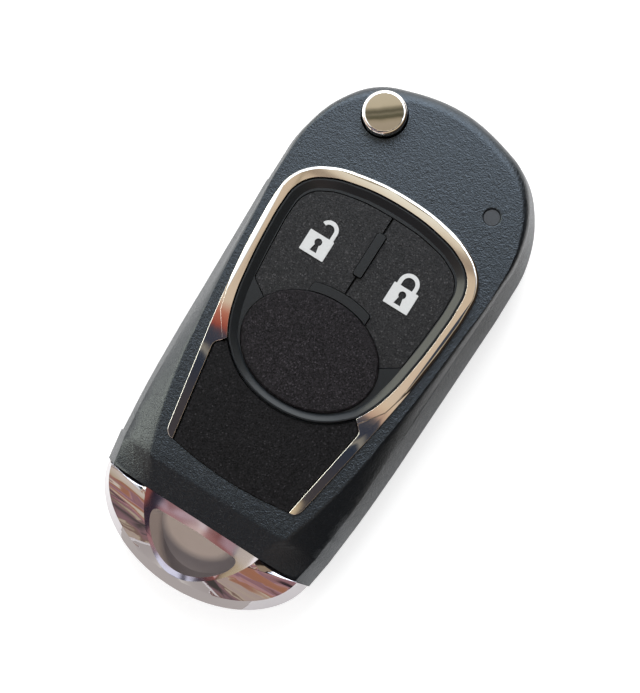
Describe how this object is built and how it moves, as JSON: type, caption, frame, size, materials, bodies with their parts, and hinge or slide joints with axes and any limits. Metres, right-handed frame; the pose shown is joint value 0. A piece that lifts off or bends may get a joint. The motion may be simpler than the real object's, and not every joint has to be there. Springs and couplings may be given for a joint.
{
  "type": "flip key shell",
  "caption": "Dark folding car key shell with plated end cap, framed padlock buttons, oval plate, release button and a blade that folds into the side.",
  "frame": {"origin": "on the flat back, on the case's centre line, half way along its overall length", "axes": "+Y along the key towards the pivot end, +Z out of the button face, +X to the right seen from the front"},
  "size_m": [0.039, 0.08, 0.0161],
  "materials": {
    "shell": "fine grained charcoal",
    "cap_plating": "polished plating",
    "bezel_plating": "polished plating",
    "frame": "satin dark blue-grey",
    "button": "matte black, soft touch",
    "icon": "light grey inlay",
    "sparkle_plate": "dark with metal flake",
    "panel": "dark with fine metal flake",
    "lens": "smoked light guide",
    "release": "polished plating",
    "hub": "black glass-filled nylon",
    "blade": "uncut blank",
    "spring": "drawn wire",
    "screw_steel": "blackened",
    "membrane": "silicone sheet",
    "board": "solder mask",
    "switch": "moulded",
    "chip": "moulded",
    "led": "small lamp",
    "cell": "stamped can",
    "contact": "spring strip",
    "transponder": "moulded block"
  },
  "bodies": {
    "case": {"front_shell": "shell", "rear_shell": "shell", "lower_screw": "screw_steel", "head_screw": "screw_steel", "end_cap": "cap_plating", "chrome_bezel": "bezel_plating", "button_frame": "frame", "emblem_plate": "sparkle_plate", "lower_panel": "panel", "indicator_lens": "lens", "indicator_led": "led", "keypad_membrane": "membrane", "circuit_board": "board", "unlock_switch": "switch", "lock_switch": "switch", "remote_chip": "chip", "coin_cell": "cell", "battery_contact": "contact", "battery_clip": "contact", "transponder_chip": "transponder"},
    "blade_arm": {"pivot_hub": "hub", "key_blade": "blade", "blade_pin": "screw_steel", "flip_spring": "spring"},
    "release": {"release_button": "release"},
    "unlock": {"unlock_button": "button", "unlock_icon": "icon"},
    "lock": {"lock_button": "button", "lock_icon": "icon"}
  },
  "joints": [
    {"name": "blade_flip", "type": "hinge", "parent": "case", "child": "blade_arm", "pos_m": [-0.0088, 0.0324, 0.0062], "axis": [0, 0, -1], "range_deg": [0, 180]},
    {"name": "release_press", "type": "slide", "parent": "blade_arm", "child": "release", "axis": [0, 0, -1], "range_m": [0, 0.0016], "stiffness_N_per_m": 600, "springref_m": -0.001, "deforming": ["flip_spring"]},
    {"name": "unlock_press", "type": "slide", "parent": "case", "child": "unlock", "axis": [0, 0, -1], "range_m": [0, 0.0004], "stiffness_N_per_m": 800, "springref_m": -0.0004},
    {"name": "lock_press", "type": "slide", "parent": "case", "child": "lock", "axis": [0, 0, -1], "range_m": [0, 0.0004], "stiffness_N_per_m": 800, "springref_m": -0.0004}
  ]
}
